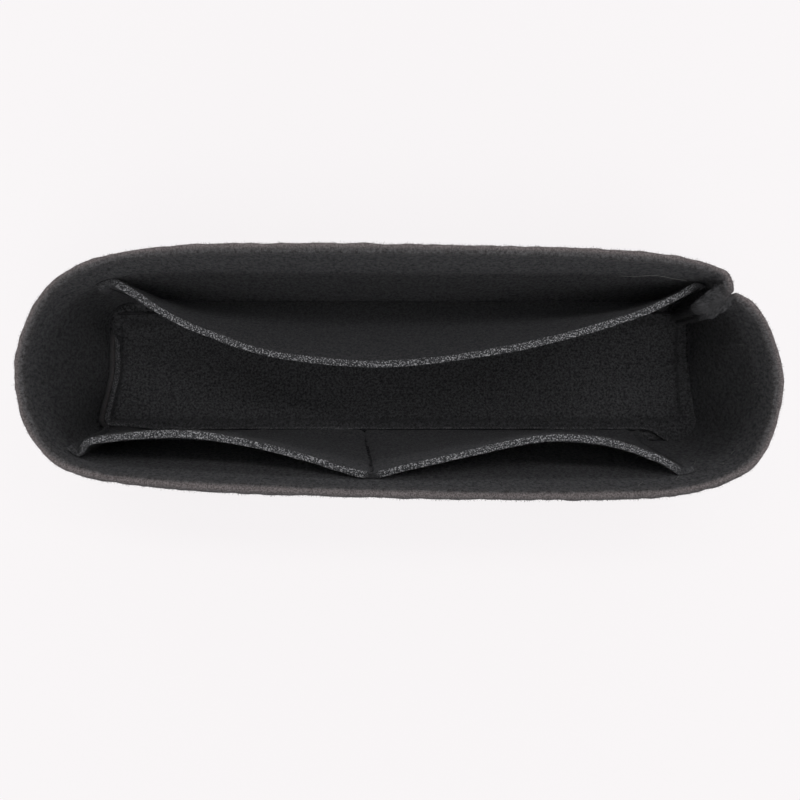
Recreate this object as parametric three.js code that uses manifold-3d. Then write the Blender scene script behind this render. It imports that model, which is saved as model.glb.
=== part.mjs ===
import * as THREE from "three";
import { mergeVertices } from "three/addons/utils/BufferGeometryUtils.js";
import Module from "manifold-3d";

const wasm = await Module();
wasm.setup();

// Sizes in millimetres, +X along the tub, +Y to its back, +Z up from the resting face
const height = 140;
const rimLength = 250;
const rimWidth = 83.2;
const baseLength = 244;
const baseWidth = 62;
const baseCorner = 12;
const felt = 2.5;
const pressed = 2; // felt squeezed by the base seam
const gap = 0.3; // clearance between sewn layers
const threadRadius = 0.3;
const threadSink = 0.1; // how deep a thread's middle lies below the felt's face
const stitchEdge = 3; // from a row of stitches to the cut edge beside it
const seamTop = 9; // top of the turned-up allowances around the floor
const seamClear = 4; // pocket flanges and the corner fin start this far above them
const finReach = 6; // allowance of the closing seam, inside the corner
const backTop = 106; // upper edge of the back pocket
const backDepth = 32.7; // how far the back pocket bows from the wall
const frontTop = 117; // upper edge of the front pockets
const leftDepth = 10.8;
const rightDepth = 13.4;
const tackWidth = 2.4; // where the front panel is held to the wall between its pockets
const columnStep = { seam: 1, bend: 3.8, side: 10 }; // spacing of the upright rows of points round the wall
const cornerRun = 30; // how far along the sides the bend of each corner reaches
const faceStep = 0.7; // length over which a wall's direction is taken
const stripShort = 0.95; // each end of the strip stops this short of the closing seam
const flange = { frontRight: 5, frontLeft: 5, backLeft: 6, backRight: 3.5 };

// Where the pocket panels leave the wall, as shares of the way round it from the closing seam
const seamAt = {
  frontRight: 0.1435,
  frontCentre: 0.3197,
  frontLeft: 0.4935,
  backLeft: 0.635,
  backRight: 0.983,
};

// Outer face of the rim in half lengths and half widths, clockwise from the closing seam round to it again
const rimOutline = [
  [0.875, 0.608], [0.892, 0.596], [0.917, 0.543], [0.954, 0.409], [0.987, 0.156], [1, -0.106],
  [0.981, -0.433], [0.932, -0.716], [0.864, -0.858], [0.736, -0.966], [0.52, -1], [0.16, -0.998],
  [-0.256, -0.966], [-0.6, -0.911], [-0.8, -0.837], [-0.896, -0.721], [-0.958, -0.51], [-0.995, -0.216],
  [-0.998, 0.12], [-0.961, 0.466], [-0.896, 0.726], [-0.784, 0.894], [-0.6, 0.978], [-0.256, 1],
  [0.16, 0.986], [0.528, 0.954], [0.736, 0.894], [0.828, 0.82], [0.856, 0.767], [0.866, 0.685],
  [0.866, 0.639],
];

const feltBlack = new THREE.MeshStandardMaterial({ color: "#212123", roughness: 0.97, metalness: 0 });
const threadBlack = new THREE.MeshStandardMaterial({ color: "#2b2b2e", roughness: 0.6, metalness: 0 });

const clamp = THREE.MathUtils.clamp;
const lerp = THREE.MathUtils.lerp;

const rimLine = new THREE.CatmullRomCurve3(
  rimOutline.map(([x, y]) => new THREE.Vector3((x * rimLength) / 2, (y * rimWidth) / 2, 0)),
  false,
  "centripetal",
);
rimLine.arcLengthDivisions = 1200;
const perimeter = rimLine.getLength();

const cornerX = baseLength / 2 - baseCorner;
const cornerY = baseWidth / 2 - baseCorner;
const baseLine = new THREE.Path();
baseLine.absarc(cornerX, cornerY, baseCorner, Math.PI / 4, 0, true);
baseLine.absarc(cornerX, -cornerY, baseCorner, 0, -Math.PI / 2, true);
baseLine.absarc(-cornerX, -cornerY, baseCorner, -Math.PI / 2, -Math.PI, true);
baseLine.absarc(-cornerX, cornerY, baseCorner, Math.PI, Math.PI / 2, true);
baseLine.absarc(cornerX, cornerY, baseCorner, Math.PI / 2, Math.PI / 4, true);

// The walls rise straight through the base seam, then lean out to the rim, most in their lower half
const lean = (z) => clamp((z - seamTop) / (height - seamTop), 0, 1) ** 0.8;
const stripEnd = stripShort / perimeter;

// A point of the wall's outer face at a share of the way round and a height
function outerFace(share, z) {
  const u = clamp(share, stripEnd, 1 - stripEnd);
  const rim = rimLine.getPointAt(u);
  return baseLine.getPointAt(u).lerp(new THREE.Vector2(rim.x, rim.y), lean(z));
}

// The same point moved inwards, square to the wall
function wallAt(share, z, inset) {
  const step = faceStep / perimeter;
  const along = outerFace(share + step, z).sub(outerFace(share - step, z)).normalize();
  const p = outerFace(share, z);
  return new THREE.Vector3(p.x + along.y * inset, p.y - along.x * inset, z);
}

// A rounded rectangle inside the base outline, with its own inset at the ends and along the sides
function floorLoop(share, inset, radius, z) {
  const p = baseLine.getPointAt(clamp(share, stripEnd, 1 - stripEnd));
  const c = new THREE.Vector2(clamp(p.x, -cornerX, cornerX), clamp(p.y, -cornerY, cornerY));
  const out = p.clone().sub(c).divideScalar(baseCorner);
  const x = (c.x * (baseLength / 2 - inset.x - radius)) / cornerX + radius * out.x;
  const y = (c.y * (baseWidth / 2 - inset.y - radius)) / cornerY + radius * out.y;
  return new THREE.Vector3(x, y, z);
}

// Columns round the wall: close together at the closing seam, wide apart along the straight sides
const shares = [];
for (let share = stripEnd; share < 1 - stripEnd; ) {
  shares.push(share);
  const toSeam = Math.min(share, 1 - share) * perimeter;
  const straight = Math.abs(baseLine.getPointAt(share).x) < cornerX - cornerRun;
  const step = straight ? columnStep.side : columnStep.bend;
  share += (toSeam < felt + finReach ? columnStep.seam : step) / perimeter;
}
shares.push(1 - stripEnd);
const around = (place) => shares.map(place);

// A closed body from loops of equal length, joined in order
function skin(loops, round) {
  const n = loops[0].length;
  const index = [];
  const quad = (a, b, c, d) => index.push(a, b, c, a, c, d);
  const last = round ? loops.length : loops.length - 1;
  for (let i = 0; i < last; i++) {
    const here = i * n;
    const next = ((i + 1) % loops.length) * n;
    for (let j = 0; j < n; j++) {
      const k = (j + 1) % n;
      quad(here + j, here + k, next + k, next + j);
    }
  }
  const top = (loops.length - 1) * n;
  for (let j = 0; !round && j < n / 2 - 1; j++) {
    const k = n - 1 - j;
    quad(j, k, k - 1, j + 1);
    quad(top + j, top + j + 1, top + k - 1, top + k);
  }
  const points = loops.flat();
  let volume = 0;
  for (let i = 0; i < index.length; i += 3) {
    const [a, b, c] = [points[index[i]], points[index[i + 1]], points[index[i + 2]]];
    volume += a.dot(b.clone().cross(c));
  }
  if (volume < 0) index.reverse();
  const geometry = new THREE.BufferGeometry().setFromPoints(points);
  geometry.setIndex(index);
  return geometry;
}

function toSolid(geometry) {
  const merged = mergeVertices(geometry, 1e-4);
  const vertProperties = merged.attributes.position.array;
  const triVerts = new Uint32Array(merged.index.array);
  return new wasm.Manifold(new wasm.Mesh({ numProp: 3, vertProperties, triVerts }));
}

function toGeometry(solid) {
  const mesh = solid.getMesh();
  const geometry = new THREE.BufferGeometry();
  geometry.setAttribute("position", new THREE.BufferAttribute(mesh.vertProperties, 3));
  geometry.setIndex(new THREE.BufferAttribute(mesh.triVerts, 1));
  return geometry;
}

// A round thread along a line of points, with the given direction kept across it
function thread(line, across, radius, round) {
  const sides = 6;
  const n = line.length;
  const loops = line.map((p, i) => {
    const before = line[round ? (i + n - 1) % n : Math.max(i - 1, 0)];
    const after = line[round ? (i + 1) % n : Math.min(i + 1, n - 1)];
    const along = after.clone().sub(before).normalize();
    const side = across.clone().addScaledVector(along, -across.dot(along)).normalize();
    const other = along.clone().cross(side);
    const loop = [];
    for (let k = 0; k < sides; k++) {
      const turn = (2 * Math.PI * k) / sides;
      const q = p.clone().addScaledVector(side, radius * Math.cos(turn));
      loop.push(q.addScaledVector(other, radius * Math.sin(turn)));
    }
    return loop;
  });
  return skin(loops, round);
}

// Wall strip: outer face down, rolled under into the turned-up allowance, and up the inner face
const foldRoom = 2 * (threadRadius + gap); // the bobbin thread of the base seam runs in the fold
const grow = (inset, by) => ({ x: inset.x + by, y: inset.y + by });
const hemOut = { x: felt + foldRoom, y: felt + foldRoom + felt + gap };
const hemIn = grow(hemOut, pressed);
const hemRadius = baseCorner - hemOut.x;
const hemInRadius = hemRadius - pressed;
const rollRadius = 1.2;
const wallHeights = [1, 0.84, 0.64, 0.43, 0.23, 0.12, 0].map((share) => lerp(seamTop, height, share));
const wallLoops = [
  ...wallHeights.map((z) => around((u) => wallAt(u, z, 0))),
  around((u) => wallAt(u, felt, 0)),
  around((u) => wallAt(u, 0.29 * felt, 0.29 * felt)),
  around((u) => wallAt(u, 0, felt)),
  around((u) => floorLoop(u, grow(hemIn, -rollRadius), hemInRadius + rollRadius, 0)),
  around((u) => floorLoop(u, hemIn, hemInRadius, rollRadius)),
  around((u) => floorLoop(u, hemIn, hemInRadius, seamTop)),
  around((u) => floorLoop(u, hemOut, hemRadius, seamTop)),
  around((u) => floorLoop(u, hemOut, hemRadius, felt)),
  around((u) => wallAt(u, felt, felt)),
  ...wallHeights.toReversed().map((z) => around((u) => wallAt(u, z, felt))),
];
let wall = toSolid(skin(wallLoops, true));

// Closing seam: both strip ends turn inwards as a two-layer fin, parted by a slit
const finWay = new THREE.Vector2(-0.75, -0.66).normalize();
const finSide = new THREE.Vector2(-finWay.y, finWay.x);
const finHalf = felt + gap / 2;
const finTip = felt + finReach;
function finPoint(z, along, aside) {
  const ends = outerFace(0, z).add(outerFace(1, z)).multiplyScalar(0.5);
  const p = ends.addScaledVector(finWay, along).addScaledVector(finSide, aside);
  return new THREE.Vector3(p.x, p.y, z);
}
function finBlock(from, to, half, low, high) {
  const corners = [[from, -half], [to, -half], [to, half], [from, half]];
  const levels = [];
  for (let i = 0; i <= 10; i++) {
    const z = lerp(low, high, i / 10);
    levels.push(corners.map(([along, aside]) => finPoint(z, along, aside)));
  }
  return toSolid(skin(levels, false));
}
wall = wall.add(finBlock(0.4 * felt, finTip, finHalf, seamTop + seamClear, height - 0.2 * felt));
wall = wall.subtract(finBlock(-finTip, 2 * (finTip + gap), gap / 2, -gap, height + gap));

// Floor: a plate whose edge turns up against the wall's allowance
const lipOut = grow(hemIn, gap);
const lipIn = grow(lipOut, pressed);
const lipRadius = hemInRadius - gap;
const lipInRadius = lipRadius - pressed;
const lipBend = 3;
const lipFillet = 0.6;
const floorLoops = [];
for (let i = 0; i <= 3; i++) {
  const turn = (i / 3) * (Math.PI / 2);
  const back = lipBend * (1 - Math.sin(turn));
  const z = lipBend * (1 - Math.cos(turn));
  floorLoops.push(around((u) => floorLoop(u, grow(lipOut, back), lipRadius - back, z)));
}
floorLoops.push(
  around((u) => floorLoop(u, lipOut, lipRadius, seamTop)),
  around((u) => floorLoop(u, lipIn, lipInRadius, seamTop)),
  around((u) => floorLoop(u, lipIn, lipInRadius, felt + lipFillet)),
  around((u) => floorLoop(u, grow(lipIn, lipFillet), lipInRadius - lipFillet, felt)),
);
const floorGeometry = skin(floorLoops, false);

// How far a pocket panel's middle lies inside the wall, and how much of its bow it has, by height
const panelBottom = felt + gap;
const flangeLow = seamTop + seamClear;
const panelRows = 10;
const panelInset = (z) => 1.5 * felt + lerp(foldRoom, gap, clamp((z - seamTop) / (2 * seamClear), 0, 1));
const bowShare = (z, top) => clamp((z - seamTop - felt) / (top - seamTop - felt), 0, 1);
const backBow = (s) => backDepth * Math.sin(Math.PI * s ** 0.88) ** 0.8;
const leftBow = (s) => (leftDepth * Math.sqrt(1 - s) * s) / 0.385;
const rightBow = (s) => rightDepth * Math.sin(Math.PI * s ** 0.82);

// A panel runs through stops along the wall, each with its bow and the height of its lower edge
function panel(stops, top) {
  const loops = [];
  for (let row = 0; row <= panelRows; row++) {
    const middle = stops.map(({ share, bow, low }) => {
      const aboveSeam = lerp(Math.max(seamTop, low + felt), top, (row - 1) / (panelRows - 1));
      const z = row === 0 ? low : aboveSeam;
      return wallAt(share, z, panelInset(z) + bow * bowShare(z, top));
    });
    const face = (side) => middle.map((p, i) => {
      const before = middle[Math.max(i - 1, 0)];
      const after = middle[Math.min(i + 1, middle.length - 1)];
      const along = new THREE.Vector2(after.x - before.x, after.y - before.y).normalize();
      return new THREE.Vector3(p.x + along.y * side, p.y - along.x * side, p.z);
    });
    loops.push([...face(-felt / 2), ...face(felt / 2).reverse()]);
  }
  return toSolid(skin(loops, false));
}

function flangeStops(from, to) {
  return [0, 0.5, 0.97].map((s) => ({ share: lerp(from, to, s), bow: 0, low: flangeLow }));
}

function bowedStops(from, to, bow, count) {
  const stops = [];
  for (let i = 0; i <= count; i++) {
    const even = i / count;
    const s = lerp(even, 0.5 - 0.5 * Math.cos(Math.PI * even), 0.5);
    const share = lerp(from, to, s);
    const inCorner = Math.abs(outerFace(share, 0).x) > cornerX - gap;
    stops.push({ share, bow: bow(s), low: inCorner ? flangeLow : panelBottom });
  }
  return stops;
}

const ends = {
  frontRight: seamAt.frontRight - flange.frontRight / perimeter,
  frontLeft: seamAt.frontLeft + flange.frontLeft / perimeter,
  backLeft: seamAt.backLeft - flange.backLeft / perimeter,
  backRight: seamAt.backRight + flange.backRight / perimeter,
};
const tackHalf = tackWidth / 2 / perimeter;
const panels = {
  back: panel([
    ...flangeStops(ends.backLeft, seamAt.backLeft),
    ...bowedStops(seamAt.backLeft, seamAt.backRight, backBow, 26),
    ...flangeStops(ends.backRight, seamAt.backRight).reverse(),
  ], backTop),
  front: panel([
    ...flangeStops(ends.frontRight, seamAt.frontRight),
    ...bowedStops(seamAt.frontRight, seamAt.frontCentre - tackHalf, rightBow, 18),
    { share: seamAt.frontCentre, bow: 0, low: panelBottom },
    ...bowedStops(seamAt.frontCentre + tackHalf, seamAt.frontLeft, leftBow, 18),
    ...flangeStops(ends.frontLeft, seamAt.frontLeft).reverse(),
  ], frontTop),
};

// Upright seams: each thread lies in a groove a little wider than itself
const threads = {};
const alongX = new THREE.Vector3(1, 0, 0);
const upZ = new THREE.Vector3(0, 0, 1);
function upright(place, low, high, radius) {
  const line = [];
  for (let i = 0; i <= 8; i++) line.push(place(lerp(low, high, i / 8)));
  return thread(line, alongX, radius, false);
}
const groove = (place, low, high) => toSolid(upright(place, low - gap, high + gap, threadRadius + gap));

// Pocket seams: the needle thread shows on the panel and the bobbin thread on the wall's outer face
const pocketSeams = [
  ["back_left", (seamAt.backLeft + ends.backLeft) / 2, "back", backTop],
  ["back_right", (seamAt.backRight + ends.backRight) / 2, "back", backTop],
  ["front_left", (seamAt.frontLeft + ends.frontLeft) / 2, "front", frontTop],
  ["front_centre", seamAt.frontCentre, "front", frontTop],
  ["front_right", (seamAt.frontRight + ends.frontRight) / 2, "front", frontTop],
];
for (const [name, share, side, top] of pocketSeams) {
  const needle = (z) => wallAt(share, z, panelInset(z) + felt / 2 - threadSink);
  const bobbin = (z) => wallAt(share, z, threadSink);
  const low = flangeLow + stitchEdge;
  const high = top - stitchEdge;
  panels[side] = panels[side].subtract(groove(needle, low, high));
  wall = wall.subtract(groove(bobbin, low, high));
  threads[name + "_needle_thread"] = upright(needle, low, high, threadRadius);
  threads[name + "_bobbin_thread"] = upright(bobbin, low, high, threadRadius);
}

// Closing seam: its two threads lie on the faces of the fin
for (const [name, side] of [["corner_seam_needle_thread", -1], ["corner_seam_bobbin_thread", 1]]) {
  const place = (z) => finPoint(z, finTip - stitchEdge, side * (finHalf - threadSink));
  const low = flangeLow + stitchEdge;
  const high = height - 2 * stitchEdge;
  wall = wall.subtract(groove(place, low, high));
  threads[name] = upright(place, low, high, threadRadius);
}

// Base seam: one thread runs round the inside of the floor's lip, one in the wall's fold
const baseStitch = seamTop - stitchEdge;
const off = threadRadius + gap;
const needleRound = around((u) => floorLoop(u, grow(lipIn, off), lipInRadius - off, baseStitch));
const bobbinRound = around((u) => wallAt(u, baseStitch, felt + foldRoom / 2)).slice(4, -4);
threads.base_seam_needle_thread = thread(needleRound, upZ, threadRadius, true);
threads.base_seam_bobbin_thread = thread(bobbinRound, upZ, threadRadius, false);

const group = new THREE.Group();
function addPiece(name, geometry, material) {
  const mesh = new THREE.Mesh(geometry, material);
  mesh.name = name;
  group.add(mesh);
}
addPiece("wall_band", toGeometry(wall), feltBlack);
addPiece("base_panel", floorGeometry, feltBlack);
addPiece("back_pocket_panel", toGeometry(panels.back), feltBlack);
addPiece("front_pocket_panel", toGeometry(panels.front), feltBlack);
for (const [name, geometry] of Object.entries(threads)) addPiece(name, geometry, threadBlack);

export default group;
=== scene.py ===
import math

import bpy
import numpy as np
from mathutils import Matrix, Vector, noise


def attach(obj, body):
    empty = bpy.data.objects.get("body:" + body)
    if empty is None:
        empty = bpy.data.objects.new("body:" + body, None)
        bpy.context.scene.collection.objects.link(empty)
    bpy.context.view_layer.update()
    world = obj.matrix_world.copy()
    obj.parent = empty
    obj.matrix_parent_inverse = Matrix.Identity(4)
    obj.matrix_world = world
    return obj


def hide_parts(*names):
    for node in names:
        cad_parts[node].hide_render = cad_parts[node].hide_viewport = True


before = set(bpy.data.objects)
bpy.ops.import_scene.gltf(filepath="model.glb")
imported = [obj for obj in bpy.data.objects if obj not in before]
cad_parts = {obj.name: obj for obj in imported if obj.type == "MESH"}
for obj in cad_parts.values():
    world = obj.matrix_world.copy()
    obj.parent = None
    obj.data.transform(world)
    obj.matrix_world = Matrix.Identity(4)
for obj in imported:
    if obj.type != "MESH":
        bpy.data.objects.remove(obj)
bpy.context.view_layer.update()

mm = 0.001
bpy.context.scene.view_settings.view_transform = "Standard"


# colours and materials

def linear(hexColour):
    parts = [int(hexColour[i:i + 2], 16) / 255 for i in (1, 3, 5)]
    flat = [c / 12.92 if c <= 0.04045 else ((c + 0.055) / 1.055) ** 2.4 for c in parts]
    return (*flat, 1.0)


def addNode(material, kind, links=(), **settings):
    node = material.node_tree.nodes.new(kind)
    for name, value in settings.items():
        if hasattr(node, name):
            setattr(node, name, value)
        else:
            node.inputs[name.replace("_", " ")].default_value = value
    for source, target in links:
        material.node_tree.links.new(source, node.inputs[target])
    return node


def newMaterial(name):
    material = bpy.data.materials.new(name)
    material.use_nodes = True
    material.node_tree.nodes.remove(material.node_tree.nodes["Principled BSDF"])
    return material, material.node_tree.nodes["Material Output"]


def perMetre(sizeMm):
    return 1 / (sizeMm * mm)


def ramp(material, value, low, high, toLow=0.0, toHigh=1.0):  # toLow and toHigh are numbers or sockets
    node = addNode(material, "ShaderNodeMapRange", [(value, "Value")], interpolation_type="SMOOTHSTEP")
    for socket, end in zip(("From Min", "From Max", "To Min", "To Max"), (low, high, toLow, toHigh)):
        if isinstance(end, (int, float)):
            node.inputs[socket].default_value = end
        else:
            material.node_tree.links.new(end, node.inputs[socket])
    return node.outputs[0]


def mixColours(material, share, a, b):  # a and b are hex colours or sockets
    node = addNode(material, "ShaderNodeMix", [(share, "Factor")], data_type="RGBA")
    for socket, colour in ((node.inputs[6], a), (node.inputs[7], b)):
        if isinstance(colour, str):
            socket.default_value = linear(colour)
        else:
            material.node_tree.links.new(colour, socket)
    return node.outputs[2]


# Needle-punched polyester felt: matt black with a fine grain of fibres, paler and speckled where it is cut
def makeFelt(name, look):
    felt, out = newMaterial(name)
    place = addNode(felt, "ShaderNodeNewGeometry").outputs["Position"]
    fromRim = addNode(felt, "ShaderNodeVectorMath", [(place, 0)], operation="SUBTRACT")
    fromRim.inputs[1].default_value = (0, 0, look["rim"] * mm)
    nap = addNode(felt, "ShaderNodeAttribute", attribute_name="nap").outputs["Fac"]
    upright = ramp(felt, nap, 0, 1, *look["upright"])  # inside, the nap is brushed up the wall
    brushed = addNode(felt, "ShaderNodeCombineXYZ", [(upright, "Z")], X=1.0, Y=1.0)
    drawn = addNode(felt, "ShaderNodeVectorMath", [(fromRim.outputs[0], 0), (brushed.outputs[0], 1)],
                    operation="MULTIPLY").outputs[0]
    grain = addNode(felt, "ShaderNodeTexNoise", [(drawn, "Vector")], Scale=perMetre(look["grain"]),
                    Detail=3.0, Roughness=0.75).outputs["Fac"]
    lumps = addNode(felt, "ShaderNodeTexNoise", [(drawn, "Vector")], Scale=perMetre(look["lump"]),
                    Detail=2.0, Roughness=0.5).outputs["Fac"]
    specks = addNode(felt, "ShaderNodeTexNoise", [(place, "Vector")], Scale=perMetre(look["speck"]),
                     Detail=1.0, Roughness=0.6).outputs["Fac"]
    # this mask mixes in the pale speckled cut-edge colour; it is also lowered where shade falls, so it
    # carries painted shade
    edgeAndShade = addNode(felt, "ShaderNodeAttribute", attribute_name="paleEdgeAndShade").outputs["Fac"]
    heights = addNode(felt, "ShaderNodeMath", [(lumps, 0), (grain, 1)], operation="ADD").outputs[0]
    contrast = [ramp(felt, nap, 0, 1, *ends) for ends in look["contrast"]]  # smoother outside
    face = mixColours(felt, ramp(felt, grain, *look["grainRange"], *contrast), look["dark"], look["light"])
    edge = mixColours(felt, ramp(felt, specks, *look["speckRange"]), look["edge"], look["sparkle"])
    colour = mixColours(felt, edgeAndShade, face, edge)
    bump = addNode(felt, "ShaderNodeBump", [(heights, "Height")], Strength=look["bump"],
                   Distance=look["depth"] * mm)
    shader = addNode(felt, "ShaderNodeBsdfPrincipled", [(colour, "Base Color"), (bump.outputs[0], "Normal")],
                     Roughness=0.95, IOR=1.5, Sheen_Weight=look["sheen"], Sheen_Roughness=0.5)
    shader.inputs["Specular IOR Level"].default_value = 0.2
    shader.inputs["Sheen Tint"].default_value = linear(look["haze"])
    felt.node_tree.links.new(shader.outputs[0], out.inputs["Surface"])
    return felt


feltLook = dict(
    dark="#222224", light="#565658", haze="#8c8c90", sheen=0.26, bump=0.8,
    rim=140.0, grain=0.9, lump=2.4, speck=0.5, depth=0.6, grainRange=(0.3, 0.7),  # lengths in millimetres
    upright=(0.8, 0.3), contrast=((0.3, 0.0), (0.62, 1.0)),  # first outside, then inside
)
wallFelt = makeFelt("needled felt, brushed rim", dict(
    feltLook, grain=1.1, dark="#131315", light="#5f5f61",
    edge="#564f4f", sparkle="#8a8282", speckRange=(0.3, 0.7)))
pocketFelt = makeFelt("needled felt, cut edge", dict(
    feltLook, edge="#353537", sparkle="#b2b2b5", speckRange=(0.46, 0.72)))


# Spun polyester sewing thread: dark, twisted from two plies that show as slanting ridges
def makeThread():
    thread, out = newMaterial("spun sewing thread")
    place = addNode(thread, "ShaderNodeUVMap", uv_map="twist").outputs[0]
    plies = addNode(thread, "ShaderNodeTexWave", [(place, "Vector")], wave_type="BANDS",
                    bands_direction="DIAGONAL", Scale=1.0, Distortion=0.6).outputs["Fac"]
    colour = mixColours(thread, plies, "#222224", "#444447")
    bump = addNode(thread, "ShaderNodeBump", [(plies, "Height")], Strength=0.6, Distance=0.06 * mm)
    shader = addNode(thread, "ShaderNodeBsdfPrincipled",
                     [(colour, "Base Color"), (bump.outputs[0], "Normal")], Roughness=0.6, IOR=1.54)
    shader.inputs["Specular IOR Level"].default_value = 0.35
    thread.node_tree.links.new(shader.outputs[0], out.inputs["Surface"])
    return thread


threadBlack = makeThread()


# Loose felt fibres: thin and translucent, so they read a little paler than the cloth they stand on
def makeFibre(name, hexColour):
    fibre, out = newMaterial(name)
    shader = addNode(fibre, "ShaderNodeBsdfPrincipled", Roughness=0.6, IOR=1.5, Sheen_Weight=0.2)
    shader.inputs["Base Color"].default_value = linear(hexColour)
    fibre.node_tree.links.new(shader.outputs[0], out.inputs["Surface"])
    return fibre


fibreRim = makeFibre("brushed rim fibre", "#5c5856")
fibreFace = makeFibre("loose felt fibre", "#4a494a")
fibrePale = makeFibre("pale lint", "#a09e9c")
print("materials made")


# shape of the tub, in millimetres and in the frame of the solids

tub = dict(
    height=140.0, rimLength=250.0, rimWidth=83.2, baseLength=244.0, baseWidth=62.0, baseCorner=12.0,
    felt=2.5, pressed=2.0, gap=0.3, foldRoom=1.2, seamTop=9.0, seamClear=4.0, finReach=6.0,
    stripShort=0.95, leanPower=0.8,
    leftSplay=5.0, rightSplay=2.0,  # how far the front corners of the base are pulled out
)
rimOutline = np.array([  # from the closing seam round by the front, as shares of half the length and width
    (0.875, 0.608), (0.892, 0.596), (0.917, 0.543), (0.954, 0.409), (0.987, 0.156), (1, -0.106),
    (0.981, -0.433), (0.932, -0.716), (0.864, -0.858), (0.736, -0.966), (0.52, -1), (0.16, -0.998),
    (-0.256, -0.966), (-0.6, -0.911), (-0.8, -0.837), (-0.896, -0.721), (-0.958, -0.51), (-0.995, -0.216),
    (-0.998, 0.12), (-0.961, 0.466), (-0.896, 0.726), (-0.784, 0.894), (-0.6, 0.978), (-0.256, 1),
    (0.16, 0.986), (0.528, 0.954), (0.736, 0.894), (0.828, 0.82), (0.856, 0.767), (0.866, 0.685),
    (0.866, 0.639),
])
finWay = np.array([-0.66, -0.75]) / math.hypot(0.66, 0.75)  # the closing seam's allowance points inwards
finSide = np.array([-finWay[1], finWay[0]])


def throughPoints(points, perSpan=40):  # centripetal curve through the points
    ends = np.vstack([2 * points[0] - points[1], points, 2 * points[-1] - points[-2]])
    curve = []
    for a, b, c, d in zip(ends, ends[1:], ends[2:], ends[3:]):
        t1 = np.linalg.norm(b - a) ** 0.5
        t2 = t1 + np.linalg.norm(c - b) ** 0.5
        t3 = t2 + np.linalg.norm(d - c) ** 0.5
        t = np.linspace(t1, t2, perSpan, endpoint=False)[:, None]
        p = (a * (t1 - t) + b * t) / t1
        q = (b * (t2 - t) + c * (t - t1)) / (t2 - t1)
        r = (c * (t3 - t) + d * (t - t2)) / (t3 - t2)
        p = (p * (t2 - t) + q * t) / t2
        q = (q * (t3 - t) + r * (t - t1)) / (t3 - t1)
        curve.append((p * (t2 - t) + q * (t - t1)) / (t2 - t1))
    return np.vstack([*curve, points[-1]])


def runAlong(line):  # length of the line up to each of its points
    return np.concatenate([[0], np.cumsum(np.linalg.norm(np.diff(line, axis=0), axis=1))])


def byShare(line):  # the line's length, and a function that gives the point at a share of it
    run = runAlong(line)

    def at(share):
        return np.stack([np.interp(share, run / run[-1], line[:, k]) for k in (0, 1)], -1)

    return run[-1], at


def baseOutline():
    r = tub["baseCorner"]
    x, y = tub["baseLength"] / 2 - r, tub["baseWidth"] / 2 - r
    arcs = [(x, y, 45, 0), (x, -y, 0, -90), (-x, -y, -90, -180), (-x, y, 180, 90), (x, y, 90, 45)]
    turns = [np.radians(np.linspace(a, b, 24)) for _, _, a, b in arcs]
    return np.vstack([np.stack([cx + r * np.cos(t), cy + r * np.sin(t)], -1)
                      for (cx, cy, _, _), t in zip(arcs, turns)])


perimeter, rimAt = byShare(throughPoints(rimOutline * [tub["rimLength"] / 2, tub["rimWidth"] / 2]))
_, plainBaseAt = byShare(baseOutline())
stripEnd = tub["stripShort"] / perimeter
hemOut = np.array([  # from the wall's outer face to the turned-up hem, at the ends and along the sides
    tub["felt"] + tub["foldRoom"],
    2 * tub["felt"] + tub["foldRoom"] + tub["gap"],
])


def smooth(low, high, value):
    t = np.clip((value - low) / (high - low), 0, 1)
    return t * t * (3 - 2 * t)


def splay(p):  # the front corners of the base are pulled out sideways
    left = smooth(-60, -115, p[..., 0]) * smooth(3, -25, p[..., 1]) * tub["leftSplay"]
    right = smooth(60, 115, p[..., 0]) * smooth(10, -26, p[..., 1]) * tub["rightSplay"]
    return np.stack([p[..., 0] + right - left, p[..., 1]], -1)


def lean(z):
    return np.clip((z - tub["seamTop"]) / (tub["height"] - tub["seamTop"]), 0, 1) ** tub["leanPower"]


def outerFace(share, z):
    u = np.clip(share, stripEnd, 1 - stripEnd)
    w = np.asarray(lean(z))[..., None]
    return splay(plainBaseAt(u)) * (1 - w) + rimAt(u) * w


def wallAt(share, z, inset):  # a point of the wall, moved inwards square to it
    step = 0.7 / perimeter
    share = np.clip(share, stripEnd, 1 - stripEnd)
    along = outerFace(share + step, z) - outerFace(share - step, z)
    along /= np.linalg.norm(along, axis=-1, keepdims=True)
    p = outerFace(share, z) + np.stack([along[..., 1], -along[..., 0]], -1) * np.asarray(inset)[..., None]
    return np.concatenate([p, np.broadcast_to(np.asarray(z, float)[..., None], (*p.shape[:-1], 1))], -1)


def floorLoop(share, inset, radius, z):  # a rounded rectangle inside the base outline
    p = plainBaseAt(np.clip(share, stripEnd, 1 - stripEnd))
    cx, cy = tub["baseLength"] / 2 - tub["baseCorner"], tub["baseWidth"] / 2 - tub["baseCorner"]
    c = np.stack([np.clip(p[..., 0], -cx, cx), np.clip(p[..., 1], -cy, cy)], -1)
    out = (p - c) / tub["baseCorner"]
    x = c[..., 0] * (tub["baseLength"] / 2 - inset[0] - radius) / cx + radius * out[..., 0]
    y = c[..., 1] * (tub["baseWidth"] / 2 - inset[1] - radius) / cy + radius * out[..., 1]
    p = splay(np.stack([x, y], -1))
    return np.concatenate([p, np.full((*p.shape[:-1], 1), float(z))], -1)


def openEnd(p):  # one at the left end, where the two turned-up edges stand apart
    return smooth(-98, -112, p[..., 0])


# one felt sheet with real thickness and rounded cut edges, from a grid of points in its middle

lumpy = dict(
    sizes=[(28.0, 0.28), (7.0, 0.16), (2.6, 0.15)],  # size of the lumps, and how far they lift the face
    fine=10.0, rim=(134, 139), rimMore=0.9,  # lumps finer than this are stronger at the rim
    fin=(104, 22), finNear=(13, 6), finHigh=(60, 110), finMore=3.2,  # and at the closing seam
)


def unit(v):
    return v / np.maximum(np.linalg.norm(v, axis=-1, keepdims=True), 1e-9)


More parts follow.
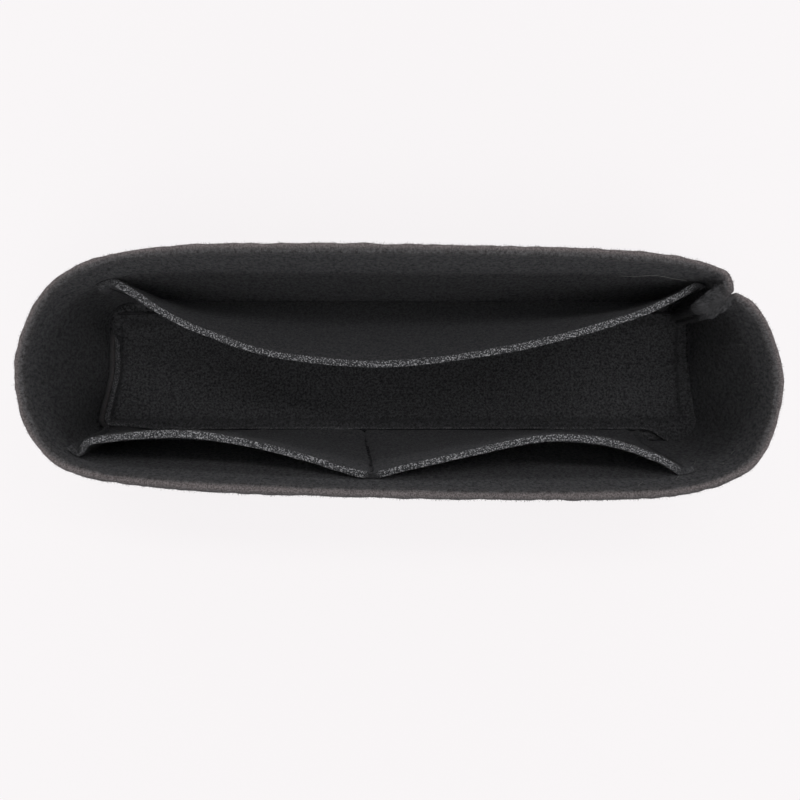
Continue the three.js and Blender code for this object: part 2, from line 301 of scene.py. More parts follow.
def gridQuads(a, b, c, d):
    return np.stack([a.ravel(), b.ravel(), c.ravel(), d.ravel()], 1)


def feltSheet(name, mid, thickness, edge, square, material, paleEdgeAndShade, loop=False):
    rows, cols = mid.shape[:2]
    down = np.gradient(mid, axis=0)
    across = (np.roll(mid, -1, 1) - np.roll(mid, 1, 1)) / 2 if loop else np.gradient(mid, axis=1)
    normal = unit(np.cross(across, down))
    half = np.broadcast_to(np.asarray(thickness, float) / 2, (rows, cols))[..., None]
    grid = np.arange(rows * cols).reshape(rows, cols)
    backOf = rows * cols
    points = [(mid + normal * half).reshape(-1, 3), (mid - normal * half).reshape(-1, 3)]
    topPaleAndShade = np.broadcast_to(paleEdgeAndShade["top"], cols)
    lowPaleAndShade = np.broadcast_to(paleEdgeAndShade.get("low", 0.0), cols)
    depth = np.cumsum(np.linalg.norm(down, axis=2), axis=0)
    outerPaleAndShade = np.broadcast_to(paleEdgeAndShade.get("outer", 1.0), cols)
    innerPaleAndShade = paleEdgeAndShade.get("inner", 1.0)

    def paleShadeAcross(t, j):  # from the outer face over the edge to the inner face; where inner is low, the pale edge darkens towards the inner face as painted shade
        late = 1 - outerPaleAndShade[j]
        toMiddle = smooth(0, 0.35 + 0.3 * late, t)
        toInner = smooth(0.25, 0.65, t - 0.3 * late)
        return (outerPaleAndShade[j] * (1 - toMiddle) + toMiddle) * (1 - toInner) + innerPaleAndShade * toInner

    outerFade = np.exp(-depth / paleEdgeAndShade["fade"])
    innerFade = np.exp(-depth / paleEdgeAndShade.get("innerFade", paleEdgeAndShade["fade"]))
    edgeAndShade = [(topPaleAndShade * outerPaleAndShade * outerFade).ravel(), (topPaleAndShade * innerPaleAndShade * innerFade).ravel()]
    wrap = np.concatenate([grid, grid[:, :1]], 1) if loop else grid
    a, b, c, d = wrap[:-1, :-1], wrap[:-1, 1:], wrap[1:, 1:], wrap[1:, :-1]
    faces = [gridQuads(a, d, c, b), gridQuads(a, b, c, d) + backOf]
    around = [(0, j) for j in range(cols)]  # row and column of each point on the cut edge
    if loop:  # the innermost loop is closed across the middle
        k = np.arange(cols // 2 - 1)
        last = grid[-1]
        a, b, c, d = last[k], last[cols - 1 - k], last[cols - 2 - k], last[k + 1]
        faces += [gridQuads(a, b, c, d), gridQuads(a, d, c, b) + backOf]
    else:
        around += [(i, cols - 1) for i in range(1, rows)]
        around += [(rows - 1, j) for j in range(cols - 2, -1, -1)]
        around += [(i, 0) for i in range(rows - 2, 0, -1)]
    ri, rj = np.array(around).T  # the cut edge is rounded off between the two faces
    out = -unit(down)[ri, rj] * (ri == 0)[:, None]
    edgePaleAndShade = np.where(ri == 0, topPaleAndShade[rj], np.where(ri == rows - 1, lowPaleAndShade[rj], 0.0))
    if not loop:
        out = out + unit(down)[ri, rj] * (ri == rows - 1)[:, None]
        sideways = (rj == cols - 1).astype(float) - (rj == 0)
        out = out + unit(across)[ri, rj] * sideways[:, None]
    out = unit(out)
    steps = 8
    rings = [grid[ri, rj]]
    total = 2 * rows * cols
    for s in range(1, steps):
        turn = math.pi * s / steps
        side = math.copysign(abs(math.cos(turn)) ** square, math.cos(turn))
        offset = normal[ri, rj] * half[ri, rj] * side
        points.append(mid[ri, rj] + offset + out * edge * math.sin(turn) ** square)
        edgeAndShade.append(edgePaleAndShade * paleShadeAcross(s / steps, rj))
        rings.append(np.arange(total, total + len(around)))
        total += len(around)
    rings.append(grid[ri, rj] + backOf)
    for here, there in zip(rings, rings[1:]):
        faces.append(gridQuads(here, np.roll(here, -1), np.roll(there, -1), there))
    piece = newPiece(name, np.vstack(points), np.vstack(faces)[:, ::-1].tolist(), material)
    outerNap = paleEdgeAndShade.get("outerNap", 1.0)
    napped = [np.full(rows * cols, outerNap), np.ones(rows * cols)]
    napped += [np.full(len(around), s / steps + outerNap * (1 - s / steps)) for s in range(1, steps)]
    for attribute, values in (("paleEdgeAndShade", edgeAndShade), ("nap", napped)):
        layer = piece.data.attributes.new(attribute, "FLOAT", "POINT")
        layer.data.foreach_set("value", np.concatenate(values).ravel())
    roughen(piece.data)
    return piece


def newPiece(name, pointsMm, faces, material):
    mesh = bpy.data.meshes.new(name)
    mesh.from_pydata((np.asarray(pointsMm) * mm).tolist(), [], faces)
    mesh.materials.append(material)
    mesh.polygons.foreach_set("use_smooth", np.ones(len(mesh.polygons), bool))
    mesh.update()
    piece = bpy.data.objects.new(name, mesh)
    bpy.context.scene.collection.objects.link(piece)
    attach(piece, "root")
    return piece


def roughen(mesh):  # lifts the felt's lumps
    moved = []
    for vertex in mesh.vertices:
        p = vertex.co / mm
        fromFin = math.hypot(p.x - lumpy["fin"][0], p.y - lumpy["fin"][1])
        nearFin = float(smooth(*lumpy["finNear"], fromFin) * smooth(*lumpy["finHigh"], p.z))
        rough = 1 + lumpy["rimMore"] * float(smooth(*lumpy["rim"], p.z)) + lumpy["finMore"] * nearFin
        rise = 0
        for size, depth in lumpy["sizes"]:
            rise += depth * noise.noise(p / size) * (rough if size < lumpy["fine"] else 1)
        moved.append(vertex.co + vertex.normal * rise * mm)
    mesh.vertices.foreach_set("co", np.array(moved, np.float32).ravel())
    mesh.update()


# wall strip: rises all round, turns in at the closing seam and rolls up inside at the bottom

wall = dict(
    column=1.5, row=1.7,
    rimRound=1.1, swell=0.5, swellOut=0.15, swellZone=(128, 139),  # the rim is thicker than the rest
    hemRound=0.6, hemCorner=4.8, foldShape=0.7,
    hemLow=4.2, hemBack=(20, 12), hemFront=(-25, -20),  # the hem is lower where the photo doesn't show it
    turn=3.4, finColumns=8, turnColumns=7, finOpens=(11, 18),  # the two ends at the closing seam
    finDroop=19.0, droopZone=(60, 140), finSwell=1.8, finSwellZone=(104, 132),
    finPuff=1.4, puffColumns=(14, 8), bulgeColumns=(16, 8),
    seamPinch=0.5, seamWide=2.0, pinchTop=(118, 108), pinchLow=(12, 18),  # thinner under the pocket seams
)
pockets = dict(
    column=1.5, row=2.4, edgeRound=0.45, clear=0.6, belly=0.12, backTop=106.0, frontTop=117.0,
    backFull=-0.75, frontFull=1.2,  # at its bottom the back pocket closes, the front one fills out
    fullLow=(5, 9), fullHigh=(34, 12),
    tack=1.8, tackWide=1.6, dip=5.0, seamWide=1.2, seamSink=0.6, seamThin=0.9,
    frontRight=0.1435, frontCentre=0.3222, frontLeft=0.4935,  # ends, as shares of the wall's length
    backLeft=0.635, backRight=0.983,
    flange=dict(frontRight=5.0, frontLeft=5.0, backLeft=6.0, backRight=3.5),  # sewn flat beyond these places
)
endColumns = wall["finColumns"] + wall["turnColumns"]  # columns of each turned-in end of the strip
seamPlaces = dict(  # share of the wall's length where each pocket seam runs
    front_right=pockets["frontRight"] - pockets["flange"]["frontRight"] / 2 / perimeter,
    front_centre=pockets["frontCentre"],
    front_left=pockets["frontLeft"] + pockets["flange"]["frontLeft"] / 2 / perimeter,
    back_left=pockets["backLeft"] - pockets["flange"]["backLeft"] / 2 / perimeter,
    back_right=pockets["backRight"] + pockets["flange"]["backRight"] / 2 / perimeter,
)


def finBulge(z):  # the back layer of the closing seam rolls thicker towards the rim
    return wall["finSwell"] * smooth(*wall["finSwellZone"], z)


def finLine(z, along, aside):
    seam = (outerFace(np.zeros(1), z) + outerFace(np.ones(1), z)) / 2
    return seam + np.asarray(along, float).reshape(-1, 1) * finWay + aside * finSide


def bend(a, wayA, b, wayB, count):  # a smooth turn from a to b
    t = np.linspace(0, 1, count + 2)[1:-1, None]
    pull = 0.45 * np.linalg.norm(b - a)
    return ((1 - t) ** 3 * a + 3 * t * (1 - t) ** 2 * (a + wayA * pull)
            + 3 * t * t * (1 - t) * (b - wayB * pull) + t ** 3 * b)


def wallShares():
    edge = wall["turn"] / perimeter
    count = int((perimeter - 2 * wall["turn"]) / wall["column"])
    return np.concatenate([np.linspace(0.02, 0.98, endColumns) * edge, np.linspace(edge, 1 - edge, count),
                           1 - np.linspace(0.98, 0.02, endColumns) * edge])


def fromEnds(count):  # columns between each column and the nearer end
    k = np.arange(count)
    return np.minimum(k, k[::-1])


def wallRow(shares, z):
    outwards = wall["swellOut"] * wall["swell"] * smooth(*wall["swellZone"], z)
    flat = wallAt(shares, np.full(len(shares), z), tub["felt"] / 2 - outwards)[:, :2]
    aside = (tub["felt"] + tub["gap"]) / 2
    along = np.linspace(tub["felt"] + tub["finReach"], wall["turn"], wall["finColumns"])
    right = finLine(z, along, aside)
    left = finLine(z, along, -aside - finBulge(z) / 2)[::-1]
    body = flat[endColumns:-endColumns]
    wayRight = unit(body[1] - body[0])
    wayLeft = unit(body[-1] - body[-2])
    start = np.vstack([right, bend(right[-1], -finWay, body[0], wayRight, wall["turnColumns"])])
    finish = np.vstack([bend(body[-1], wayLeft, left[0], finWay, wall["turnColumns"]), left])
    w = smooth(*wall["finOpens"], z)  # the ends turn in above the base seam
    row = flat * (1 - w) + np.vstack([start, body, finish]) * w
    nearEnd = np.clip(1 - fromEnds(len(row)) / (wall["finColumns"] + 3), 0, 1)
    droop = wall["finDroop"] * nearEnd * smooth(*wall["droopZone"], z)
    return np.column_stack([row, z - droop])


def makeWall():
    felt, pressed = tub["felt"], tub["pressed"]
    hemMid = hemOut + pressed / 2
    shares = wallShares()
    top, low = tub["height"] - wall["rimRound"], 1.5 * felt
    heights = np.linspace(top, low, int((top - low) / wall["row"]))
    rows = [wallRow(shares, z) for z in heights]
    seamed = [(shares - place) * perimeter for place in seamPlaces.values()]
    pinch = sum(np.exp(-(away / wall["seamWide"]) ** 2) for away in seamed)
    inEnd = fromEnds(len(shares))
    swell = wall["swell"] * (1 + wall["finPuff"] * smooth(*wall["puffColumns"], inEnd))
    bulge = smooth(*wall["bulgeColumns"], np.arange(len(shares))[::-1])
    thick = []
    for z in heights:
        sewn = wall["seamPinch"] * pinch * smooth(*wall["pinchTop"], z) * smooth(*wall["pinchLow"], z)
        thick.append(felt - sewn + swell * smooth(*wall["swellZone"], z) + bulge * finBulge(z))
    outer, inner = rows[-1], floorLoop(shares, hemMid, wall["hemCorner"], low)
    for turn in np.linspace(0, math.pi, 10)[1:]:
        side = math.copysign(abs(math.cos(turn)) ** wall["foldShape"], math.cos(turn))
        row = (outer + inner) / 2 + (outer - inner) / 2 * side
        row[:, 2] = low - math.sin(turn) ** wall["foldShape"] * (low - felt / 2)
        rows.append(row)
        thick.append(np.full(len(shares), felt + (pressed - felt) * turn / math.pi))
    shown = openEnd(inner) * smooth(*wall["hemBack"], inner[:, 1]) * smooth(*wall["hemFront"], inner[:, 1])
    for t in np.linspace(0, 1, 5)[1:]:
        row = inner.copy()
        row[:, 2] += t * (tub["seamTop"] - wall["hemRound"] - low - wall["hemLow"] * (1 - shown))
        rows.append(row)
        thick.append(np.full(len(shares), pressed))
    front = smooth(-25, -35, rows[0][:, 1])
    rimPaleAndShade = (0.04 + 0.96 * smooth(6, 16, inEnd)) * (1 - 0.18 * front)  # painted shade: the pale edge is kept dark at the closing seam and a little darker along the front
    # painted shade: the front rim's outer side and the rim's inner side are darkened; the pale edge fades a
    # few millimetres down both faces, and the hem's top edge is pale only at the left end
    paleEdgeAndShade = dict(top=rimPaleAndShade, fade=4.0, innerFade=8.0, outerNap=0.0, outer=1 - 0.9 * front, inner=0.12,
                low=0.35 * shown)
    return feltSheet("wall", np.array(rows), np.array(thick), wall["rimRound"], 1.0, wallFelt, paleEdgeAndShade)


wallPiece = makeWall()
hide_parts("wall_band")
print("wall made", len(wallPiece.data.polygons))


# floor, with its edge turned up against the wall's hem

floor = dict(
    columns=480, bend=4.0, step=1.7, edgeRound=0.6, lean=1.9, thin=0.9, corner=2.5,
    bareRight=(98, 116), bareFront=(12, -20), sink=0.7, sinkLess=1.1, sinkFront=(-14, -22),
    cutLeft=(-96, -106), cutBack=(10, 18), cutFront=(-20, -24), cutFrontShare=0.6, cutLow=0.8,
)


def makeFloor():
    felt, pressed, gap = tub["felt"], tub["pressed"], tub["gap"]
    lipMid = hemOut + pressed * 1.5 + gap
    radius = floor["corner"]
    shares = np.linspace(stripEnd, 1 - stripEnd, floor["columns"])
    low = felt / 2
    rows, thick = [], []
    upright = floorLoop(shares, lipMid, radius, 0)
    pressedOut = floorLoop(shares, lipMid - floor["lean"], radius, 0)
    x, y = upright[:, 0], upright[:, 1]
    bare = smooth(*floor["bareRight"], x) * smooth(*floor["bareFront"], y)  # no pocket panel in the way here
    sunk = felt + floor["sink"] - floor["sinkLess"] * smooth(*floor["sinkFront"], y)
    toWall = wallAt(shares, np.full(len(shares), tub["seamTop"]), sunk)
    pressedOut = pressedOut + (toWall - pressedOut) * bare[:, None]
    atCorner = smooth(*floor["cutBack"], y) + floor["cutFrontShare"] * smooth(*floor["cutFront"], y)
    cut = smooth(*floor["cutLeft"], x) * atCorner  # the turned-up edge ends before the left corners
    rise = tub["seamTop"] - floor["edgeRound"] - low - floor["bend"]
    for t in np.linspace(1, 0, 5):
        z = low + floor["bend"] + t * rise * (1 - floor["cutLow"] * cut)
        w = (1 - openEnd(upright) * (1 - np.clip(2 * cut, 0, 1))) * smooth(0, 1, t)
        row = upright + (pressedOut - upright) * w[:, None]
        row[:, 2] = z
        rows.append(row)
        thick.append(pressed - floor["thin"] * w)
    for turn in np.linspace(0, math.pi / 2, 5)[1:]:
        back = floor["bend"] * (1 - math.cos(turn))
        z = low + floor["bend"] * (1 - math.sin(turn))
        rows.append(floorLoop(shares, lipMid + back, max(radius - back, 0.2), z))
        thick.append(np.full(len(shares), pressed + (felt - pressed) * turn / (math.pi / 2)))
    deepest = tub["baseWidth"] / 2 - lipMid[1] - 0.4
    for inset in np.arange(floor["bend"] + floor["step"], deepest, floor["step"]):
        rows.append(floorLoop(shares, lipMid + inset, max(radius - inset, 0.2), low))
        thick.append(np.full(len(shares), felt))
    # painted shade: the turned-up edge shows its pale cut colour only at the left end and along the front,
    # and stays dark elsewhere, where it lies in shade
    front = smooth(-15, -20, rows[0][:, 1])
    paleEdgeAndShade = dict(top=np.maximum(0.4 * openEnd(rows[0]), 0.3 * front) * (1 - cut), fade=0.5)
    return feltSheet("floor", np.array(rows), np.array(thick), floor["edgeRound"], 0.8, pocketFelt, paleEdgeAndShade,
                     loop=True)


floorPiece = makeFloor()
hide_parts("base_panel")
print("floor made", len(floorPiece.data.polygons))


# pocket panels: sewn flat to the wall at their ends, bowed between

def panelInset(z):
    return 1.5 * tub["felt"] + tub["foldRoom"] + (tub["gap"] - tub["foldRoom"]) * np.clip(
        (z - tub["seamTop"]) / (2 * tub["seamClear"]), 0, 1)


def makePanel(name, stops, top, ends, fullness):
    shares, bows = (np.concatenate(part) for part in zip(*stops))
    inCorner = np.abs(plainBaseAt(shares)[:, 0]) > tub["baseLength"] / 2 - tub["baseCorner"] - 0.5
    raised = tub["seamTop"] + pockets["clear"]  # the lower edge clears the turned-up felt in the corners
    low = np.where(inCorner, raised, tub["felt"] + tub["gap"])
    low = np.convolve(np.pad(low, 3, mode="edge"), np.ones(7) / 7, mode="valid")
    low = np.where(inCorner, np.maximum(low, raised), low)
    fromEnd = np.minimum(shares - ends[0], ends[1] - shares) * perimeter  # below zero on the sewn flanges
    seamed = [np.abs(shares - place) * perimeter for place in seamPlaces.values()]
    pinch = sum(np.exp(-(away / pockets["seamWide"]) ** 2) for away in seamed)
    sewn = np.clip(pinch, 0, 1)
    rows = []
    tacked = np.exp(-((shares - pockets["frontCentre"]) * perimeter / pockets["tackWide"]) ** 2)
    top = top - pockets["edgeRound"] - pockets["dip"] * tacked
    for t in np.linspace(0, 1, int((top.max() - 5) / pockets["row"])):
        z = top + (low - top) * t
        rise = np.clip((z - tub["seamTop"] - tub["felt"]) / (top - tub["seamTop"] - tub["felt"]), 0, 1)
        rise = rise + pockets["belly"] * np.sin(math.pi * rise ** 0.6)  # the pocket's bottom is round
        full = fullness * smooth(*pockets["fullLow"], z) * smooth(*pockets["fullHigh"], z)
        rows.append(wallAt(shares, z, panelInset(z) + bows * rise + full - pockets["seamSink"] * sewn))
    thick = tub["felt"] - pockets["seamThin"] * sewn
    # painted shade: the pale cut edge is dimmed on the flanges and at the seams, and left out at the centre
    # tack, where the edge lies in shade
    edgePaleAndShade = (0.25 + 0.75 * smooth(-1, 4, fromEnd)) * (1 - np.clip(pinch, 0, 0.8)) * (1 - tacked)
    return feltSheet(name, np.array(rows), thick[None, :], pockets["edgeRound"], 0.55, pocketFelt,
                     dict(top=edgePaleAndShade, fade=0.35))


def stretch(a, b, bow=None):  # shares and bows between two places on the wall
    count = max(4, int(abs(b - a) * perimeter / pockets["column"]))
    even = np.linspace(0, 1, count)
    s = 0.4 * even + 0.3 * (1 - np.cos(math.pi * even)) if bow else even
    return a + (b - a) * s, (bow(s) if bow else np.zeros(count))


def flangeTo(key, way):
    return pockets[key] + way * pockets["flange"][key] / perimeter


def bowThrough(points):
    curve = throughPoints(np.array(points, float))

    def bow(s):
        return np.interp(100 * s, curve[:, 0], curve[:, 1])

    return bow


# bow of each pocket's top edge, read off the photo: percent of its length, and millimetres off the wall
backBow = bowThrough([(0, 0), (4, 6.9), (8, 13), (12.5, 18.4), (17, 22.2), (25, 28), (33, 30.8), (44, 32.6),
                      (54, 31.3), (67, 27), (79, 20.9), (87.5, 14.9), (92, 11), (96, 6.2), (100, 0)])
rightBow = bowThrough([(0, 0), (5, 4.5), (10, 6.9), (15, 9.1), (25, 12.1), (39, 13.6), (49, 12.8),
                       (59, 10.8), (69, 8.3), (79, 5.7), (89, 3.2), (96, 1.2), (100, 0)])
leftBow = bowThrough([(0, 0), (4, 0.6), (9, 1.9), (19, 4.7), (34, 8.3), (49, 10.8), (60, 11.7), (70, 11.3),
                      (80, 10), (90, 7.8), (96, 5.8), (99, 4.2), (100, 0)])
hair = 0.3 / perimeter
tack = pockets["tack"] / 2 / perimeter
backPiece = makePanel("back_pocket", [
    stretch(flangeTo("backLeft", -1), pockets["backLeft"] - hair),
    stretch(pockets["backLeft"], pockets["backRight"], backBow),
    stretch(pockets["backRight"] + hair, flangeTo("backRight", 1)),
], pockets["backTop"], (pockets["backLeft"], pockets["backRight"]), pockets["backFull"])
frontPiece = makePanel("front_pocket", [
    stretch(flangeTo("frontRight", -1), pockets["frontRight"] - hair),
    stretch(pockets["frontRight"], pockets["frontCentre"] - tack, rightBow),
    (pockets["frontCentre"] + np.array([-0.5, -0.2, 0, 0.2, 0.5]) / perimeter, np.zeros(5)),
    stretch(pockets["frontCentre"] + tack, pockets["frontLeft"], leftBow),
    stretch(pockets["frontLeft"] + hair, flangeTo("frontLeft", 1)),
], pockets["frontTop"], (pockets["frontRight"], pockets["frontLeft"]), pockets["frontFull"])
for piece, node, flat in [(backPiece, "back_pocket_panel", (0.247, 0.104)),
                          (frontPiece, "front_pocket_panel", (0.239, 0.115))]:
    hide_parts(node)
    print(piece.name, "made", len(piece.data.polygons))


# sewing: single stitches that dive into the felt at both ends

stitch = dict(
    length=3.2, space=0.5, radius=0.28, proud=0.1, dive=0.45, sides=8, rings=9, turns=9,
    miss=2.0,  # a stitch further than this from its cloth is left out
    low=16.0, belowTop=3.0, cornerTop=106.0, cornerIn=5.5,  # where the seams run
)


def tube(path, normals, radii, sides):  # a closed tube along a path
    path, normals = np.asarray(path), unit(np.asarray(normals))
    along = unit(np.gradient(path, axis=0))
    side = unit(np.cross(along, normals))
    up = np.cross(side, along)
    angle = np.arange(sides) * 2 * math.pi / sides
    ring = side[:, None] * np.cos(angle)[None, :, None] + up[:, None] * np.sin(angle)[None, :, None]
    points = (path[:, None] + ring * np.asarray(radii)[:, None, None]).reshape(-1, 3)
    faces = []
    for i in range(len(path) - 1):
        for j in range(sides):
            a, b = i * sides + j, i * sides + (j + 1) % sides
            faces.append((a, a + sides, b + sides, b))
    faces.append(tuple(range(sides)))
    faces.append(tuple(range((len(path) - 1) * sides, len(path) * sides))[::-1])
    return points, faces


def sewSeam(node, line, cloth, normalOf=None):
    run = runAlong(line)
    pitch = stitch["length"] + stitch["space"]
    rings, sides, turns = stitch["rings"], stitch["sides"], stitch["turns"]
    bow = np.sin(np.linspace(0, math.pi, rings)) ** 0.5
    points, faces, twist = [], [], []
    for k in range(int(run[-1] / pitch)):
        t = k * pitch + np.linspace(0, stitch["length"], rings)
        spots = np.stack([np.interp(t, run, line[:, c]) for c in range(3)], 1)
        if normalOf:
            ways = normalOf(spots)
        else:
            found = [cloth.closest_point_on_mesh(Vector(p * mm)) for p in spots]
            onCloth = np.array([hit[1] for hit in found]) / mm
            if np.linalg.norm(onCloth - spots, axis=1).max() > stitch["miss"]:
                continue
            ways = np.broadcast_to(unit(np.array([hit[2] for hit in found]).mean(0)), spots.shape)
            spots = onCloth
        spots = spots + ways * (bow * (stitch["proud"] + stitch["dive"]) - stitch["dive"])[:, None]
        made, quads = tube(spots, ways, stitch["radius"] * (0.75 + 0.25 * bow), sides)
        faces += [tuple(v + len(points) * len(made) for v in face) for face in quads]
        points.append(made)
        twist += [(i * stitch["length"] / rings * turns, j * turns / sides)
                  for i in range(rings) for j in range(sides)]
    piece = newPiece(node.replace("thread", "stitches"), np.vstack(points), faces, threadBlack)
    layer = piece.data.uv_layers.new(name="twist")
    for loop in piece.data.loops:
        layer.data[loop.index].uv = twist[loop.vertex_index]
    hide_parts(node)


def awayFromMiddle(p):
    return unit(np.column_stack([p[:, :2], 0 * p[:, 0]]))


def makeSeams():
    bpy.context.view_layer.update()
    felt, pressed, gap = tub["felt"], tub["pressed"], tub["gap"]
    around = np.linspace(stripEnd * 2, 1 - stripEnd * 2, 700)
    lipIn = hemOut + 2 * pressed + gap
    seamHeight = tub["seamTop"] - stitch["belowTop"]
    line = floorLoop(around, lipIn + 0.6, tub["baseCorner"] - lipIn[0] - 0.6, seamHeight)
    sewSeam("base_seam_needle_thread", line, floorPiece)
    line = wallAt(around, np.full(len(around), seamHeight), felt + tub["foldRoom"] / 2 + 0.1)
    sewSeam("base_seam_bobbin_thread", line, wallPiece, awayFromMiddle)
    for node, aside in (("corner_seam_needle_thread", -1), ("corner_seam_bobbin_thread", 1)):
        z = np.linspace(stitch["low"], stitch["cornerTop"], 200)
        line = np.array([[*finLine(h, stitch["cornerIn"], aside * (felt + gap / 2 + 0.1))[0], h] for h in z])
        sewSeam(node, line, wallPiece)
    for name, share in seamPlaces.items():
        atFront = name.startswith("front")
        panel = frontPiece if atFront else backPiece
        top = pockets["frontTop" if atFront else "backTop"]
        z = np.linspace(stitch["low"], top - stitch["belowTop"], 200)
        shares = np.full(len(z), share)
        sewSeam(name + "_needle_thread", wallAt(shares, z, panelInset(z) + felt / 2 + 0.1), panel)
        sewSeam(name + "_bobbin_thread", wallAt(shares, z, -0.1), wallPiece)


makeSeams()
print("seams sewn")


# loose fibres on the cut edges and faces

fuzz = dict(seed=7, thick=0.045)  # drawn a little thicker than real fibres, so that they show


def growFibres(name, roots, ways, lengths, spread, thick, material, rng):  # thin, bent spindles
    count = len(roots)
    way = unit(ways + spread * rng.normal(size=(count, 3)))
    side = unit(np.cross(way, rng.normal(size=(count, 3))))
    third = np.cross(way, side)
    reach = lengths[:, None]
    middle = roots + way * 0.45 * reach
    tip = roots + way * reach + side * reach * rng.uniform(-0.5, 0.5, (count, 1))
    turns = [2 * math.pi * k / 3 for k in range(3)]
    ring = [middle + thick * (math.cos(a) * side + math.sin(a) * third) for a in turns]
    points = np.stack([roots - way * 0.3, *ring, tip], 1).reshape(-1, 3)
    spindle = np.array([(2, 1, 0), (3, 2, 0), (1, 3, 0), (1, 2, 4), (2, 3, 4), (3, 1, 4)])
    faces = (spindle + 5 * np.arange(count)[:, None, None]).reshape(-1, 3)
    return newPiece(name, points, faces.tolist(), material)


def pickSpots(piece, count, weight, rng):  # random spots on a piece, more where weight says so
    mesh = piece.data
    centres = np.empty(len(mesh.polygons) * 3)
    mesh.polygons.foreach_get("center", centres)
    centres = centres.reshape(-1, 3) / mm
    normals = np.empty(len(mesh.polygons) * 3)
    mesh.polygons.foreach_get("normal", normals)
    areas = np.empty(len(mesh.polygons))
    mesh.polygons.foreach_get("area", areas)
    chance = areas * weight(centres, normals.reshape(-1, 3))
    picked = rng.choice(len(areas), size=count, p=chance / chance.sum())
    jitter = rng.normal(size=(count, 3)) * 0.5
    ways = normals.reshape(-1, 3)[picked]
    jitter -= ways * (jitter * ways).sum(1, keepdims=True)
    return centres[picked] + jitter, ways


def onRim(centres, normals):
    return centres[:, 2] > tub["height"] - 2.2


def facesIn(centres, normals):
    return (centres[:, :2] * normals[:, :2] / [3, 1]).sum(1) < 0


def onInside(centres, normals):
    return (centres[:, 2] > 12) * facesIn(centres, normals)


def onOutside(centres, normals):
    return (centres[:, 2] > 3) * ~facesIn(centres, normals)


def aboveBase(centres, normals):
    return centres[:, 2] > 10


def facesUp(centres, normals):
    return normals[:, 2] > 0.3


def makeFuzz():
    rng = np.random.default_rng(fuzz["seed"])
    sets = [  # name, cloth, how many, how long, material and where
        ("rim_fibres", wallPiece, 9000, (0.25, 0.8), fibreRim, onRim),
        ("inner_wall_fibres", wallPiece, 26000, (0.3, 0.9), fibreFace, onInside),
        ("outer_wall_fibres", wallPiece, 9000, (0.3, 0.8), fibreFace, onOutside),
        ("back_pocket_fibres", backPiece, 9000, (0.3, 0.8), fibreFace, aboveBase),
        ("front_pocket_fibres", frontPiece, 9000, (0.3, 0.8), fibreFace, aboveBase),
        ("floor_fibres", floorPiece, 4000, (0.3, 0.7), fibreFace, facesUp),
    ]
    for name, piece, count, length, material, where in sets:
        roots, ways = pickSpots(piece, count, where, rng)
        growFibres(name, roots, ways, rng.uniform(*length, count), 0.7, fuzz["thick"], material, rng)


lint = dict(count=18, length=(1.5, 5.0), thick=0.06, threadFrom=(0.938, 95.0), threadTo=(0.976, 104.0))


def insideRight(centres, normals):
    facing = (centres[:, :2] * normals[:, :2]).sum(1) < 0
    return (centres[:, 2] > 60) * facing * (centres[:, 0] > 60) * 1.0


def makeLint():  # a few pale hairs caught on the inner faces, and one loose thread end on the back wall
    rng = np.random.default_rng(fuzz["seed"] + 1)
    count = lint["count"]
    roots, ways = pickSpots(wallPiece, count, insideRight, rng)
    across = rng.normal(size=(count, 2)) * 0.4
    upwards = rng.normal(size=count)
    flat = unit(ways + 3.0 * np.column_stack([across, upwards]))  # nearly flat on the cloth
    lengths = rng.uniform(*lint["length"], count)
    growFibres("lint_hairs", roots + ways * 0.25, flat, lengths, 0.15, lint["thick"], fibrePale, rng)
    t = np.linspace(0, 1, 30)
    (shareFrom, zFrom), (shareTo, zTo) = lint["threadFrom"], lint["threadTo"]
    share = shareFrom + (shareTo - shareFrom) * t
    z = zFrom + (zTo - zFrom) * t + 2.0 * np.sin(math.pi * t)
    path = wallAt(share, z, tub["felt"] + 0.3 + 0.25 * np.sin(9 * t))
    made, quads = tube(path, np.broadcast_to([0.0, 0.0, 1.0], path.shape), np.full(len(path), 0.05), 6)
    newPiece("loose_thread_end", made, quads, fibrePale)


makeFuzz()
makeLint()
print("fibres grown")


# stage, light and camera

def makeStage():
    paper, out = newMaterial("white paper")  # matt sheet: even and pale, with the soft shadow still on it
    shader = addNode(paper, "ShaderNodeBsdfPrincipled", Roughness=0.9)
    shader.inputs["Base Color"].default_value = linear("#f3f0f1")
    glow = addNode(paper, "ShaderNodeEmission")
    glow.inputs["Color"].default_value = linear("#fefbfc")
    seen = addNode(paper, "ShaderNodeLightPath").outputs["Is Camera Ray"]
    share = addNode(paper, "ShaderNodeMath", [(seen, 0)], operation="MULTIPLY")
    share.inputs[1].default_value = 0.85
    mixed = addNode(paper, "ShaderNodeMixShader", [(share.outputs[0], 0), (shader.outputs[0], 1),
                                                   (glow.outputs[0], 2)])
    paper.node_tree.links.new(mixed.outputs[0], out.inputs["Surface"])
    size = 3.0
    mesh = bpy.data.meshes.new("ground")
    corners = [(-size, -size, 0), (size, -size, 0), (size, size, 0), (-size, size, 0)]
    mesh.from_pydata(corners, [], [(0, 1, 2, 3)])
    mesh.materials.append(paper)
    ground = bpy.data.objects.new("ground", mesh)
    ground.location.z = -0.0004
    bpy.context.scene.collection.objects.link(ground)


light = dict(
    sky=0.26, across=0.045,
    front=dict(size=(1.4, 0.05), away=1.3, rise=35.0, power=2.9),
    behind=dict(size=(1.4, 0.1), away=1.3, rise=145.0, power=2.6),
    back=dict(size=(0.9, 0.12), away=1.5, rise=102.0, power=5.0),
    top=dict(size=(0.4, 0.7), away=1.5, rise=84.0, power=6.5),
)


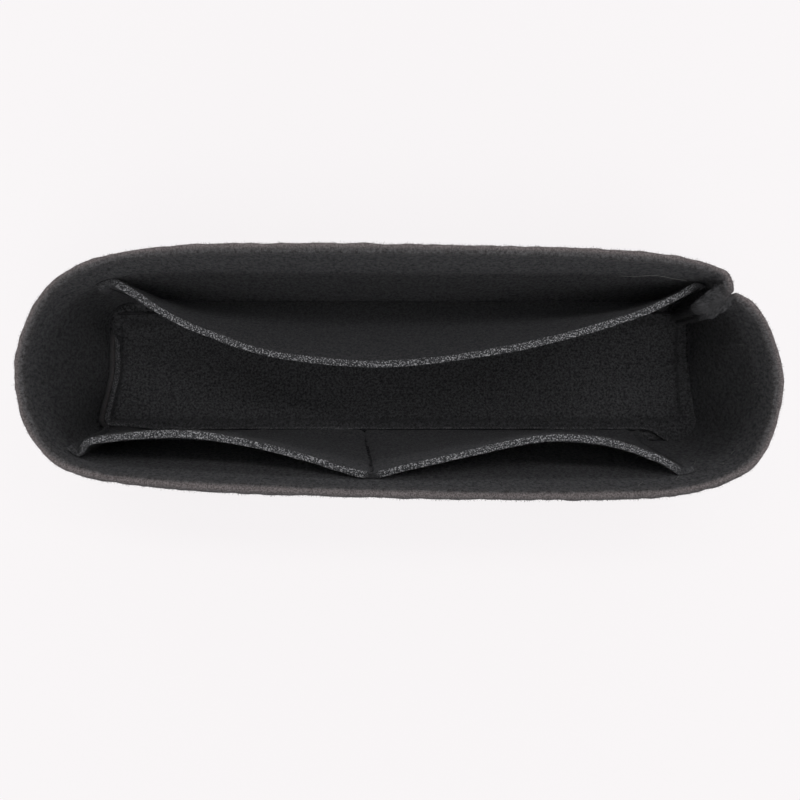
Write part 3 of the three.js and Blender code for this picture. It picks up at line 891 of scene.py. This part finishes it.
def areaLamp(name, place, size, power):
    lamp = bpy.data.lights.new(name, "AREA")
    lamp.shape = "RECTANGLE"
    lamp.size, lamp.size_y = size
    lamp.energy = power
    obj = bpy.data.objects.new(name, lamp)
    obj.location = place
    aim = Vector((0, 0, tub["height"] * mm)) - Vector(place)
    obj.rotation_euler = aim.to_track_quat("-Z", "Y").to_euler()
    bpy.context.scene.collection.objects.link(obj)


def makeLight():
    world = bpy.data.worlds.new("studio")
    bpy.context.scene.world = world
    world.use_nodes = True
    sky = world.node_tree.nodes["Background"]
    sky.inputs["Color"].default_value = (1, 1, 1, 1)
    sky.inputs["Strength"].default_value = light["sky"]
    backdrop = addNode(world, "ShaderNodeBackground", Strength=1.0)  # what the camera sees past the paper
    backdrop.inputs["Color"].default_value = linear("#fbf8f9")
    seen = addNode(world, "ShaderNodeLightPath").outputs["Is Camera Ray"]
    mixed = addNode(world, "ShaderNodeMixShader", [(seen, 0), (sky.outputs[0], 1), (backdrop.outputs[0], 2)])
    world.node_tree.links.new(mixed.outputs[0], world.node_tree.nodes["World Output"].inputs["Surface"])
    for name in ("front", "behind", "back", "top"):
        lamp = light[name]
        rise = math.radians(lamp["rise"])  # from the front rim upwards and over to the back
        height = tub["height"] * mm + lamp["away"] * math.sin(rise)
        place = (light["across"], -lamp["away"] * math.cos(rise), height)
        areaLamp(name + " light", place, lamp["size"], lamp["power"])


photo = dict(size=800, centre=(399.0, 371.5), focal=1570.0, away=651.0)  # the view, in pixels and mm


def makeCamera():
    camera = bpy.data.cameras.new("camera")
    camera.sensor_width = 36.0
    camera.lens = 36.0 * photo["focal"] / photo["size"]
    camera.shift_x = (photo["size"] / 2 - photo["centre"][0]) / photo["size"]
    camera.shift_y = (photo["centre"][1] - photo["size"] / 2) / photo["size"]
    obj = bpy.data.objects.new("camera", camera)
    obj.location = (0, 0, photo["away"] * mm)
    bpy.context.scene.collection.objects.link(obj)
    bpy.context.scene.camera = obj


makeStage()
makeLight()
makeCamera()
print("stage, light and camera set")
